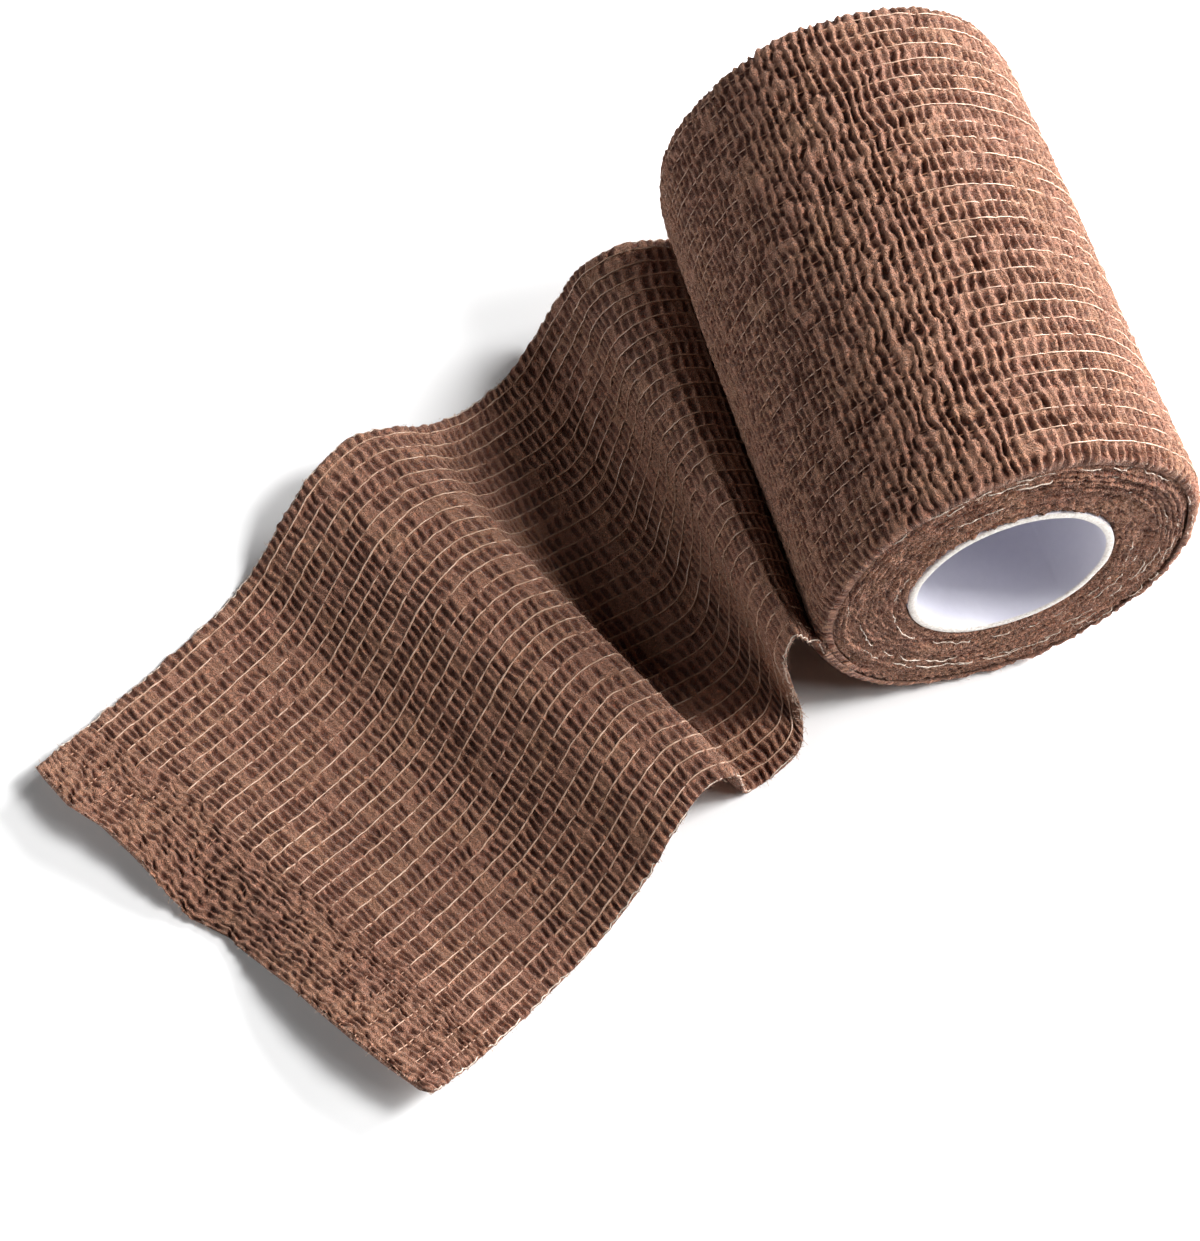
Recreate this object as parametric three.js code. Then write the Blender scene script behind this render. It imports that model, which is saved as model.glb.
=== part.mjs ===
// A cohesive bandage roll: a crinkled elastic bandage wound on a white core.
// Its end is unrolled and lies beside the roll in two folds.
// Millimetres, +Z up. The roll's axis runs along Y, and the unrolled end runs towards -X.
// The origin is on the surface that the roll rests on, under the middle of the roll.
import * as THREE from "three";

const bandageWidth = 75;
const clothThickness = 1.2;
const gap = 0.3; // between one piece and the next

const core = { outerRadius: 14.1, wall: 1.2, edgeRound: 0.3, segments: 96 };

const roll = {
  radius: 27.5,
  outOfRound: 0.0236, // share of the radius by which the long axis is longer
  longAxisDeg: 72,
  turnStep: 1.0, // the outer turn's thickness, lost over one turn of the winding
  stepDeg: 1.5, // the angle over which the end of the outer turn drops to the turn below
  rimDrop: 1.3, // how far the radius falls at the rounded rims
  rimLength: 4,
  flatDepth: 0.4, // how far the roll's own weight presses its underside flat
  segments: 120,
};

// The wound form's slight unevenness: low waves round the roll and along it.
const lumps = { height: 0.2, wavesRound: 7, startDeg: 40, lengthAlong: 52, startAlong: 16 };

// Where the roll's outline is drawn: shares of the rim's length from the end, then places along it.
const rimShares = [0, 0.12, 0.35, 0.65, 1];
const middlePlaces = [22, 11, 0];

// The outer turn leaves the roll along a slanting line, higher at the near end than at the far end.
const leavingDeg = { near: 191, far: 215.5 };
const rootDeg = 2.5; // the loose end starts this far above the leaving line

const sheet = { stepsPerFold: 5, acrossSteps: 14, touchAt: 0.53, touchWidth: 0.17 };

// The middle of the loose end's thickness, at its near edge and its far edge, fold by fold.
// press is how far the middle of the width is pressed back onto the surface, from 0 to 1.
const rest = clothThickness / 2;
const folds = [
  { at: "crest one", near: [-28.1, -37.7, 26.6], far: [-28.4, 36.5, 14.8], press: 0 },
  { at: "shoulder", near: [-30.1, -37.4, 20.5], far: [-35.9, 36.4, 12.4], press: 0 },
  { at: "slope", near: [-28.2, -37.2, 9.6], far: [-40.8, 36.1, 6.4], press: 0 },
  { at: "foot", near: [-26.8, -37.6, 2.2], far: [-45.0, 33.8, 1.8], press: 0 },
  { at: "valley start", near: [-28.4, -41.5, rest], far: [-50.3, 29.0, rest], press: 0 },
  { at: "valley end", near: [-33.8, -45.7, rest], far: [-56.8, 25.0, rest], press: 0 },
  { at: "rise", near: [-38.2, -48.1, 8.0], far: [-64.1, 20.6, 5.0], press: 0 },
  { at: "crest two", near: [-41.0, -49.2, 14.8], far: [-70.6, 18.7, 9.6], press: 0 },
  { at: "brow", near: [-44.6, -49.1, 12.6], far: [-75.5, 18.9, 9.0], press: 0 },
  { at: "fall", near: [-48.9, -50.6, 6.8], far: [-82.1, 16.6, 5.6], press: 0 },
  { at: "second foot", near: [-54.0, -54.7, 2.4], far: [-88.1, 11.8, 2.4], press: 0 },
  { at: "flat start", near: [-61.3, -60.3, rest], far: [-95.5, 4.7, rest], press: 0 },
  { at: "flat middle", near: [-71.0, -66.8, 0.8], far: [-106.7, -3.2, rest], press: 0.5 },
  { at: "curl", near: [-81.5, -73.4, 3.2], far: [-120.6, -11.6, 1.2], press: 1 },
  { at: "cut end", near: [-88.6, -77.1, 5.4], far: [-128.9, -17.8, 4.2], press: 1 },
];

const bandageBrown = new THREE.MeshStandardMaterial({ color: 0x9c6b52, roughness: 0.9, metalness: 0 });
const coreWhite = new THREE.MeshStandardMaterial({ color: 0xf0eff4, roughness: 0.55, metalness: 0 });

const { lerp, degToRad, euclideanModulo, clamp } = THREE.MathUtils;

// The share of the bandage's width at y: 0 at the near end, 1 at the far end.
function shareAcross(y) {
  return clamp(y / bandageWidth + 0.5, 0, 1);
}

function leavingAngle(y) {
  return lerp(leavingDeg.near, leavingDeg.far, shareAcross(y));
}

// How far the rounded rim lies inside the roll's full radius.
function rimDrop(y) {
  const intoRim = Math.abs(y) - (bandageWidth / 2 - roll.rimLength);
  const share = clamp(intoRim / roll.rimLength, 0, 1);
  return roll.rimDrop * (1 - Math.sqrt(1 - share * share));
}

// The wound form without its rims: slightly oval, a little lumpy, and one turn thinner
// where it comes round to the leaving line again.
function woundRadius(angleDeg, y) {
  const oval = 1 + roll.outOfRound * Math.cos(2 * degToRad(angleDeg - roll.longAxisDeg));
  const turned = euclideanModulo(angleDeg - leavingAngle(y), 360) / 360;
  const round = Math.sin(degToRad(lumps.wavesRound * angleDeg + lumps.startDeg));
  const along = Math.cos((2 * Math.PI * (y + lumps.startAlong)) / lumps.lengthAlong);
  return roll.radius * oval - roll.turnStep * turned + lumps.height * round * along;
}

const axisHeight = woundRadius(270, 0) - roll.flatDepth;

function polarPoint(radius, angleDeg, y) {
  const a = degToRad(angleDeg);
  return new THREE.Vector3(radius * Math.cos(a), y, axisHeight + radius * Math.sin(a));
}

function onTheSurface(point) {
  return point.setZ(Math.max(point.z, 0));
}

// The faces between closed loops of points, each loop joined to the next, and the last to the
// first where ringCloses is true.
function loopFaces(loopCount, loopSize, ringCloses) {
  const faces = [];
  const joins = ringCloses ? loopCount : loopCount - 1;
  for (let i = 0; i < joins; i++) {
    const next = (i + 1) % loopCount;
    for (let j = 0; j < loopSize; j++) {
      const right = (j + 1) % loopSize;
      const a = i * loopSize + j;
      const b = i * loopSize + right;
      const c = next * loopSize + right;
      const d = next * loopSize + j;
      faces.push(a, b, c, a, c, d);
    }
  }
  return faces;
}

function geometryFrom(points, faces) {
  const geometry = new THREE.BufferGeometry().setFromPoints(points);
  geometry.setIndex(faces);
  geometry.computeVertexNormals();
  return geometry;
}

// Stations along the roll, from the near end to the far end: close together on the rounded rims.
function rollStations() {
  const rim = rimShares.map((share) => bandageWidth / 2 - roll.rimLength * share);
  const farHalf = [...rim, ...middlePlaces];
  const nearHalf = farHalf.slice(0, -1).map((y) => -y);
  return [...nearHalf, ...farHalf.reverse()];
}

// One turn of points at a station. The last point is a short way before the first, and the
// short face between them is the end of the outer turn.
function outerLoop(y) {
  const sweep = 360 - roll.stepDeg;
  return Array.from({ length: roll.segments }, (_, k) => {
    const angle = leavingAngle(y) + (sweep * k) / (roll.segments - 1);
    return onTheSurface(polarPoint(woundRadius(angle, y) - rimDrop(y), angle, y));
  });
}

function holeLoop(y) {
  const radius = core.outerRadius + gap;
  const start = leavingAngle(0);
  return Array.from({ length: roll.segments }, (_, k) =>
    polarPoint(radius, start + (360 * k) / roll.segments, y),
  );
}

function woundRollGeometry() {
  const half = bandageWidth / 2;
  const loops = [holeLoop(-half), holeLoop(half), ...rollStations().reverse().map(outerLoop)];
  return geometryFrom(loops.flat(), loopFaces(loops.length, roll.segments, true));
}

// A tube with lightly rounded edges, its axis along Y.
function coreGeometry() {
  const half = bandageWidth / 2;
  const inner = core.outerRadius - core.wall;
  const outer = core.outerRadius;
  const round = core.edgeRound;
  const profile = [
    [inner, -half + round],
    [inner + round, -half],
    [outer - round, -half],
    [outer, -half + round],
    [outer, half - round],
    [outer - round, half],
    [inner + round, half],
    [inner, half - round],
    [inner, -half + round],
  ].map(([radius, y]) => new THREE.Vector2(radius, y));
  return new THREE.LatheGeometry(profile, core.segments);
}

// Where the loose end starts: against the turn below, just above the leaving line.
function rootPoint(across) {
  const y = lerp(-bandageWidth / 2, bandageWidth / 2, across);
  const angle = leavingAngle(y) - rootDeg;
  const radius = woundRadius(angle, y) + gap + rest;
  return polarPoint(radius, angle, y);
}

// A fold's point at a share of the width from the near edge. Pressed rows dip to the surface.
function foldPoint(fold, across) {
  const point = new THREE.Vector3(...fold.near).lerp(new THREE.Vector3(...fold.far), across);
  const fromTouch = (across - sheet.touchAt) / sheet.touchWidth;
  const pressed = fold.press * Math.exp(-fromTouch * fromTouch);
  return point.setZ(lerp(point.z, rest, pressed));
}

// The middle of the cloth along its length, at a share of the width.
function lengthwisePoints(across) {
  const through = [rootPoint(across), ...folds.map((fold) => foldPoint(fold, across))];
  const curve = new THREE.CatmullRomCurve3(through, false, "centripetal");
  return curve.getPoints(folds.length * sheet.stepsPerFold);
}

// The unit normal of a grid of points, from the neighbours of each point.
function gridNormal(grid, i, j) {
  const alongRow = (row) => row[clamp(i + 1, 0, row.length - 1)].clone();
  const lengthwise = alongRow(grid[j]).sub(grid[j][Math.max(i - 1, 0)]);
  const last = grid.length - 1;
  const crosswise = grid[Math.min(j + 1, last)][i].clone().sub(grid[Math.max(j - 1, 0)][i]);
  return crosswise.cross(lengthwise).normalize();
}

// Every station along the length is a closed loop round the cloth: across its upper face,
// then back across its lower face.
function looseEndGeometry() {
  const shares = Array.from({ length: sheet.acrossSteps + 1 }, (_, j) => j / sheet.acrossSteps);
  const grid = shares.map(lengthwisePoints);
  const face = (i, j, side) => {
    const offset = gridNormal(grid, i, j).multiplyScalar(side * rest);
    return onTheSurface(grid[j][i].clone().add(offset));
  };
  const loops = grid[0].map((_, i) => {
    const upper = shares.map((_, j) => face(i, j, 1));
    const lower = shares.map((_, j) => face(i, j, -1)).reverse();
    return [...upper, ...lower];
  });
  const loopSize = 2 * shares.length;
  const lastLoop = (loops.length - 1) * loopSize;
  const sides = loopFaces(loops.length, loopSize, false);
  const rootFaces = endFaces(loopSize).toReversed();
  const cutFaces = endFaces(loopSize).map((k) => lastLoop + k);
  return geometryFrom(loops.flat(), [...sides, ...rootFaces, ...cutFaces]);
}

// The strip that closes one end of the cloth, between its upper face and its lower face.
function endFaces(loopSize) {
  const faces = [];
  for (let j = 0; j < loopSize / 2 - 1; j++) {
    const below = loopSize - 1 - j;
    faces.push(j, j + 1, below - 1, j, below - 1, below);
  }
  return faces;
}

function namedMesh(name, geometry, material) {
  const mesh = new THREE.Mesh(geometry, material);
  mesh.name = name;
  return mesh;
}

const bandageRoll = new THREE.Group();
const coreTube = namedMesh("core", coreGeometry(), coreWhite);
coreTube.position.z = axisHeight;
bandageRoll.add(coreTube);
bandageRoll.add(namedMesh("wound_roll", woundRollGeometry(), bandageBrown));
bandageRoll.add(namedMesh("loose_end", looseEndGeometry(), bandageBrown));

export default bandageRoll;
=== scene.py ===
# %% [markdown]
# # A cohesive bandage roll
# The real thing is a strip of thin nonwoven cloth with elastic threads laid along it. The threads
# were stretched while the cloth was bonded to them, so when they let go the cloth gathered into
# thousands of tiny crosswise puckers. The strip is wound on a white core, and its end lies unrolled
# beside it in two folds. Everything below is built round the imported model, the fixed frame.

# %% Load the frame
import math

import bpy
import numpy as np
from mathutils import Matrix, Vector


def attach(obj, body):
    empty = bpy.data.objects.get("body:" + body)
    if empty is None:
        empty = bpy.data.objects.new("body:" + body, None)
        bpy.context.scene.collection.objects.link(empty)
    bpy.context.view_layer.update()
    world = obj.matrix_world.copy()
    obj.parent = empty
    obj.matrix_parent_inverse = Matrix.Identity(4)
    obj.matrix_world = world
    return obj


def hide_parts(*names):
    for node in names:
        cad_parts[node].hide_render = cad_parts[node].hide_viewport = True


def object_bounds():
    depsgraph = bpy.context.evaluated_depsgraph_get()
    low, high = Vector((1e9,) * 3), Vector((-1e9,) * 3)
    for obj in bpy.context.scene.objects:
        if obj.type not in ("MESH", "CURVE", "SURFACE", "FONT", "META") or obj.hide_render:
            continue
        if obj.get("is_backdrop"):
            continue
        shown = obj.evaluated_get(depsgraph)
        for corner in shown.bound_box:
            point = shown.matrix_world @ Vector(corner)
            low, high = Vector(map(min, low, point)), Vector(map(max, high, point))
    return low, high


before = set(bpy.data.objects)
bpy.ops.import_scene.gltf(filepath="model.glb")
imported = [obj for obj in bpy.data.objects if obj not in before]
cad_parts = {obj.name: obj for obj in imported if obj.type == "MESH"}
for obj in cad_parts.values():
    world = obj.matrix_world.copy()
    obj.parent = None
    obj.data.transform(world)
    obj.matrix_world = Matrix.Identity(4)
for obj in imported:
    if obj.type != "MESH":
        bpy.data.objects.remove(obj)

cad_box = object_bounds()


def print_box(title, box):
    low, high = ([round(x, 4) for x in corner] for corner in box)
    print(title, "from", low, "to", high)


print_box("packed model", cad_box)

# %% [markdown]
# ## Sizes
# Lengths are in millimetres while a shape is worked out, and become metres once, when its mesh is
# made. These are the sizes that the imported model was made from, so each piece here lies where its
# solid is: +Y runs along the roll's axis and the loose end runs towards -X.

# %% The sizes that drive the shapes
MM = 0.001
bandage_width = 75.0
half_width = bandage_width / 2
core_radius = 14.1
core_wall = 1.2
roll_radius = 27.5
out_of_round = 0.0236
long_axis_deg = 72.0
turn_step = 1.0
rim_drop = 1.3
rim_length = 4.0
flat_depth = 0.4
lump_height = 0.2
leaving_deg = {"near": 191.0, "far": 215.5}
root_deg = 2.5
solid_gap = 0.3
solid_rest = 0.6

# %% [markdown]
# ## Camera
# The photograph was taken from above and a little to the left of the roll's near end. A camera is
# easiest to copy by its angles, its focal length in pixels, and the pixel of a known point. That
# point is the origin here, which is on the surface under the middle of the roll.

# %% Place the camera
PHOTO_SIZE = (1200, 1241)
ORIGIN_PIXEL = (896.05, 455.77)
camera_azimuth = math.radians(-15.844)
camera_elevation = math.radians(61.151)
focal_pixels = 2715.9
origin_depth = 394.26 * MM
SENSOR = 36.0

camera_data = bpy.data.cameras.new("camera")
camera = bpy.data.objects.new("camera", camera_data)
bpy.context.scene.collection.objects.link(camera)
bpy.context.scene.camera = camera

camera_back = Vector((
    math.sin(camera_azimuth) * math.cos(camera_elevation),
    -math.cos(camera_azimuth) * math.cos(camera_elevation),
    math.sin(camera_elevation),
))
camera_right = Vector((0, 0, 1)).cross(camera_back).normalized()
camera_up = camera_back.cross(camera_right)
sideways = (ORIGIN_PIXEL[0] - PHOTO_SIZE[0] / 2) * origin_depth / focal_pixels
upwards = (PHOTO_SIZE[1] / 2 - ORIGIN_PIXEL[1]) * origin_depth / focal_pixels
camera_place = camera_back * origin_depth - camera_right * sideways - camera_up * upwards
turn = Matrix((camera_right, camera_up, camera_back)).transposed().to_4x4()
camera.matrix_world = Matrix.Translation(camera_place) @ turn
camera_data.sensor_width = SENSOR
camera_data.lens = focal_pixels * SENSOR / max(PHOTO_SIZE)
camera_data.clip_start = 0.01
camera_data.clip_end = 20
print("camera at", [round(x, 4) for x in camera_place], "lens", round(camera_data.lens, 1), "mm")

# %% [markdown]
# ## Helpers for meshes
# A cloth is made here as a closed shell: an upper face with many points, a lower face with fewer,
# and strips that join their borders. A tube mesh does for a thread. Both are filled from number
# arrays, which is much quicker than adding one vertex at a time.


# %% Make a mesh from points and faces
def add_piece(name, points_mm, faces, values=None):
    """A smooth-shaded mesh object from millimetre points, with named values at its points."""
    mesh = bpy.data.meshes.new(name)
    mesh.from_pydata((np.asarray(points_mm) * MM).tolist(), [], faces)
    mesh.polygons.foreach_set("use_smooth", np.ones(len(mesh.polygons), bool))
    for key, numbers in (values or {}).items():
        layer = mesh.attributes.new(key, "FLOAT", "POINT")
        layer.data.foreach_set("value", np.asarray(numbers, np.float32).ravel())
    mesh.update()
    piece = bpy.data.objects.new(name, mesh)
    bpy.context.scene.collection.objects.link(piece)
    return piece


def triangles_of(piece):
    return sum(len(p.vertices) - 2 for p in piece.data.polygons)


# %% Faces between the points of a grid, and between two borders
def grid_faces(index, flip=False):
    """Quads over a grid of point numbers, [row, column]."""
    quads = np.stack([index[:-1, :-1], index[:-1, 1:], index[1:, 1:], index[1:, :-1]], -1)
    if flip:
        quads = quads[..., ::-1]
    return quads.reshape(-1, 4).tolist()


def ring_faces(rows, columns):
    """Quads over a grid of points that closes on itself both ways."""
    index = np.arange(rows * columns).reshape(rows, columns)
    index = np.concatenate([index, index[:1]])
    index = np.concatenate([index, index[:, :1]], axis=1)
    return grid_faces(index)


def zipper_faces(one, other, flip=False):
    """Triangles between two lines of point numbers that may differ in length."""
    faces = []
    i = 0
    k = 0
    while i < len(one) - 1 or k < len(other) - 1:
        ahead = (i + 1) / max(len(one) - 1, 1) <= (k + 1) / max(len(other) - 1, 1)
        if k == len(other) - 1 or (ahead and i < len(one) - 1):
            faces.append((int(one[i]), int(one[i + 1]), int(other[k])))
            i += 1
        else:
            faces.append((int(one[i]), int(other[k + 1]), int(other[k])))
            k += 1
    return [face[::-1] for face in faces] if flip else faces


def shell(upper, lower):
    """Points and faces of a closed cloth: [row, column, xyz] faces with the same columns."""
    rows, columns = upper.shape[:2]
    low_rows = lower.shape[0]
    top = np.arange(rows * columns).reshape(rows, columns)
    under = rows * columns + np.arange(low_rows * columns).reshape(low_rows, columns)
    faces = grid_faces(top, flip=True) + grid_faces(under)
    faces += grid_faces(np.stack([under[0], top[0]]), flip=True)
    faces += grid_faces(np.stack([top[-1], under[-1]]), flip=True)
    faces += zipper_faces(top[:, 0], under[:, 0], flip=True)
    faces += zipper_faces(top[:, -1], under[:, -1])
    return np.concatenate([upper.reshape(-1, 3), lower.reshape(-1, 3)]), faces


# %% [markdown]
# ## Unevenness
# Nothing in this cloth repeats exactly. Every wobble comes from one kind of soft noise: random
# numbers on a grid, blended smoothly between the grid's points. Each use has its own seed, so the
# result is the same on every run.


# %% Soft noise on two directions
def soft_noise(x, y, seed):
    """Noise from -1 to 1 that changes over about one unit of x and of y."""
    x, y = np.broadcast_arrays(np.asarray(x, float), np.asarray(y, float))
    low = np.floor([x.min(), y.min()]).astype(int)
    high = np.floor([x.max(), y.max()]).astype(int) + 2
    table = np.random.default_rng(seed).uniform(-1, 1, tuple(high - low))
    column = np.floor(x).astype(int) - low[0]
    row = np.floor(y).astype(int) - low[1]
    across = x - np.floor(x)
    up = y - np.floor(y)
    across = across * across * (3 - 2 * across)
    up = up * up * (3 - 2 * up)
    left = table[column, row] * (1 - up) + table[column, row + 1] * up
    right = table[column + 1, row] * (1 - up) + table[column + 1, row + 1] * up
    return left * (1 - across) + right * across


def smooth_step(low, high, x):
    share = np.clip((np.asarray(x, float) - low) / (high - low), 0, 1)
    return share * share * (3 - 2 * share)


def band(low, high, fade, x):
    """1 between low and high, going down to 0 over a short way beyond each."""
    return smooth_step(low - fade, low, x) * (1 - smooth_step(high, high + fade, x))


def hump(x, middle, half):
    """A smooth hump, 1 at its middle."""
    return np.exp(-(((x - middle) / half) ** 2))


def cell_noise(ridge, lane, seed):
    """One random number from 0 to 1 for each ridge of each lane between two threads."""
    table = np.random.default_rng(seed).uniform(0, 1, (700, 64))
    return table[ridge.astype(int) % 700, lane.astype(int) % 64]


# %% [markdown]
# ## The puckers
# Between two threads the cloth stands up in ridges, with a dark pit between each ridge and the
# next. Seen from above it is a ladder: threads are its rails and ridges its rungs. The mesh follows
# that ladder. Its lines run along the ridges and pits themselves, five to each ridge and six to
# each lane between threads, so that a few points give a crisp wall to every pit.

# %% The lattice of threads and ridges
thread_pitch = 2.72
thread_count = 27
thread_lines = (np.arange(thread_count) - (thread_count - 1) / 2) * thread_pitch
LANE_STEPS = 6
RIDGE_SHARES = np.array([0.0, 0.16, 0.35, 0.65, 0.84])


def width_stations():
    """Places across the width: the rolled edge, then six to each lane between threads."""
    steps = np.arange((thread_count - 1) * LANE_STEPS + 1)
    inner = steps / LANE_STEPS * thread_pitch + thread_lines[0]
    margin = half_width + thread_lines[0]
    edge = -half_width + margin * np.array([0.0, 0.02, 0.07, 0.16, 0.32, 0.54, 0.78])
    return np.concatenate([edge, inner, -edge[::-1]])


stations = width_stations()
lane_place = (stations - thread_lines[0]) / thread_pitch + 2
print(len(stations), "stations across the width")
print(thread_count, "threads", thread_pitch, "mm apart")


# %% [markdown]
# Each pit gets its own depth, length and place, and each ridge its own height and thickness. A
# style sets the character. In a ladder the pits lie in line and stop at each thread. In ropes the
# ridges are thick, knotted and broken, and the pits are staggered and crossed by small bars. In a
# net the ridges are thin and low, and the pits staggered too.


# %% Height of the cloth at a ridge place and a lane place
def staggered(lane, number, style, seed):
    """The lane and the place in it, shifted by a different amount for each ridge or pit."""
    shifted = lane + style["stagger"] * (cell_noise(number, 0 * lane, seed) - 0.5)
    return np.floor(shifted), shifted - np.floor(shifted)


def at_random_place(in_lane, number, lane_number, share, seed):
    """A short bump along a lane, at a different place in each cell, in a share of the cells."""
    place = 0.25 + 0.5 * cell_noise(number, lane_number, seed)
    present = cell_noise(number, lane_number, seed + 1) < share
    return present * hump(in_lane, place, 0.14)


def pit_window(in_lane, style, pit, lane_number, seed):
    """1 along the open length of a pit, less at its ends and where a bar crosses it."""
    reach = 0.5 * (style["length"] + 0.3 * (cell_noise(pit, lane_number, seed) - 0.5))
    middle = 0.5 + 0.14 * (cell_noise(pit, lane_number, seed + 1) - 0.5)
    open_part = 1 - smooth_step(reach - 0.15, reach + 0.08, np.abs(in_lane - middle))
    window = style["through"] + (1 - style["through"]) * open_part
    return window * (1 - style["bars"] * at_random_place(in_lane, pit, lane_number, 0.8, seed + 8))


def ridge_thickness(in_lane, lane, style, ridge, lane_number, seed):
    """Half the thickness of a ridge, in ridges: knotted, notched, and wider at its ends."""
    thick = style["ridge"] * (0.7 + 0.6 * cell_noise(ridge, lane_number, seed))
    thick = thick + style["lens"] * (2 * np.abs(in_lane - 0.5)) ** 2
    thick = thick + style["knots"] * soft_noise(lane * 2.6, ridge, seed + 1)
    notch = style["notches"] * at_random_place(in_lane, ridge, lane_number, 0.5, seed + 2)
    return np.maximum(thick * (1 - notch), 0.02), notch


def pucker(ridge_place, lane, style, seed):
    """Height in millimetres, and how far down a pit the point is, from 0 to 1."""
    pit = np.floor(ridge_place)
    ridge = np.floor(ridge_place + 0.5)
    share = ridge_place - pit
    from_crest = np.minimum(share, 1 - share)
    lane_number, in_lane = staggered(lane, pit, style, seed + 6)
    depth = 0.6 + 0.4 * cell_noise(pit, lane_number, seed)
    depth = np.where(cell_noise(pit, lane_number, seed + 1) < style["filled"], 0.25, depth)
    window = pit_window(in_lane, style, pit, lane_number, seed + 20)
    rope_lane, in_rope = staggered(lane, ridge, style, seed + 7)
    thick, notch = ridge_thickness(in_rope, lane, style, ridge, rope_lane, seed + 40)
    hollow = smooth_step(thick - 0.10, thick + 0.16, from_crest) * depth * window
    bead = np.sin(math.pi * np.clip(in_rope, 0, 1)) ** 0.6
    tall = 0.5 + 0.7 * cell_noise(ridge, rope_lane, seed + 4)
    crest = np.clip(1 - (from_crest / (thick + 0.22)) ** 2, 0, 1) * (1 - notch)
    height = style["rise"] * crest * (0.4 + 0.6 * bead * tall)
    return height - style["fall"] * hollow, hollow


def ridge_wander(ridge_place, lane, seed):
    """How far each ridge strays from its even place, in ridges."""
    at_thread = soft_noise(ridge_place / 2.6, lane * 0.9, seed)
    bend = soft_noise(ridge_place / 1.5, lane * 1.9, seed + 1)
    drift = soft_noise(ridge_place / 9.0, lane / 3.0, seed + 2)
    kink = soft_noise(ridge_place / 1.1, lane * 4.3, seed + 3)
    return 0.55 * at_thread + 0.38 * bend + 0.6 * drift + 0.22 * kink


def crumple(ridge_place, lane, seed):
    """Small creases over everything, from -1 to 1."""
    coarse = soft_noise(ridge_place * 1.4, lane * 2.6, seed)
    fine = soft_noise(ridge_place * 4.1, lane * 6.7, seed + 1)
    return 0.5 * coarse + 0.8 * fine


def blend_styles(one, other, share):
    """One style going over to another as the share goes from 0 to 1."""
    return {key: one[key] * (1 - share) + other[key] * share for key in one}


# ridge: half a ridge's thickness, in ridges; rise and fall: height and depth in millimetres
# length: a pit's share of its lane; through: how deep a pit stays beyond its ends
# lens: extra thickness at a ridge's ends; stagger: how far neighbours are shifted, in lanes
# filled: share of shallow pits; bars: how far a bar closes a pit
# knots: unevenness of a ridge's thickness; notches: how deep a ridge is notched
STYLE_COLUMNS = (
    "ridge", "rise", "fall", "length", "through", "lens",
    "stagger", "filled", "bars", "knots", "notches",
)


def style(*values):
    return dict(zip(STYLE_COLUMNS, values))


ladder = style(0.20, 0.32, 0.62, 0.84, 0.10, 0.03, 0.1, 0.10, 0.30, 0.10, 0.4)
ropes = style(0.24, 0.40, 0.74, 0.90, 0.14, 0.05, 1.0, 0.10, 0.80, 0.18, 0.9)
net = style(0.17, 0.20, 0.52, 0.86, 0.06, 0.06, 0.9, 0.06, 0.40, 0.12, 0.7)
flat_cloth = style(0.17, 0.18, 0.46, 0.82, 0.08, 0.05, 0.1, 0.14, 0.25, 0.08, 0.4)
bunched = style(0.17, 0.28, 0.52, 0.74, 0.05, 0.08, 1.0, 0.10, 0.70, 0.14, 0.9)


# %% [markdown]
# ## The wound form
# The roll is a spiral, slightly oval and lumpy, with rounded rims. An angle is measured at the axis
# from +X towards +Z, and runs on past a full circle, so that one formula gives the outermost turn
# and the turn beneath it.


# %% The roll's radius at an angle and a place along its axis
def leaving_angle(y):
    share = np.clip(y / bandage_width + 0.5, 0, 1)
    return leaving_deg["near"] + (leaving_deg["far"] - leaving_deg["near"]) * share


def rim_fall(y):
    share = np.clip((np.abs(y) - (half_width - rim_length)) / rim_length, 0, 1)
    return rim_drop * (1 - np.sqrt(1 - share * share))


def spiral_radius(angle, y):
    """Radius of the cloth's upper face, one turn step less for each full turn inwards."""
    oval = 1 + out_of_round * np.cos(2 * np.radians(angle - long_axis_deg))
    inwards = (angle - leaving_angle(y)) / 360
    lump = np.sin(np.radians(7 * angle + 40)) * np.cos(2 * math.pi * (y + 16) / 52)
    return roll_radius * oval - turn_step * inwards + lump_height * lump


axis_height = float(spiral_radius(270.0, 0.0)) - flat_depth
print("axis", round(axis_height, 3), "mm above the surface")


def around_axis(radius, angle, y):
    a = np.radians(angle)
    radius, a, y = np.broadcast_arrays(radius, a, y)
    points = np.stack([radius * np.cos(a), y, axis_height + radius * np.sin(a)], -1)
    return points


def above_surface(points, least=0.02):
    points[..., 2] = np.maximum(points[..., 2], least)
    return points


def unit(vectors):
    return vectors / np.maximum(np.linalg.norm(vectors, axis=-1, keepdims=True), 1e-9)


def unit_normals(grid):
    """Unit normals of a grid of points, from the differences between neighbours."""
    return unit(np.cross(np.gradient(grid, axis=0), np.gradient(grid, axis=1)))


# %% [markdown]
# ## The outer turn
# The outermost turn is a real layer, so it is built as a closed sheet wrapped once round the roll,
# with its cut edges showing at both ends. Its start lies under the loose end, which carries on from
# it, and its last stretch goes in under its own start, as on any spiral.

# %% Where the outer turn's ridges lie
roll_ridge_pitch = 1.36
cloth_thickness = 0.85
start_after_leaving = 8.0
middle_leaving = (leaving_deg["near"] + leaving_deg["far"]) / 2
last_angle = 360 + leaving_deg["far"] + 4
degrees_per_ridge = math.degrees(roll_ridge_pitch / roll_radius)
underside = (216.0, 330.0)
ropes_begin = (86.0, 106.0)
net_begins = (118.0, 142.0)


def ridge_columns(first, last, is_fine):
    """Ridge places along the cloth, five a ridge, and two where the cloth isn't seen."""
    places = []
    for number in range(int(math.ceil(last - first))):
        places.extend(number + (RIDGE_SHARES if is_fine(number) else np.array([0.0, 0.5])))
    return np.array(places)


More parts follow.
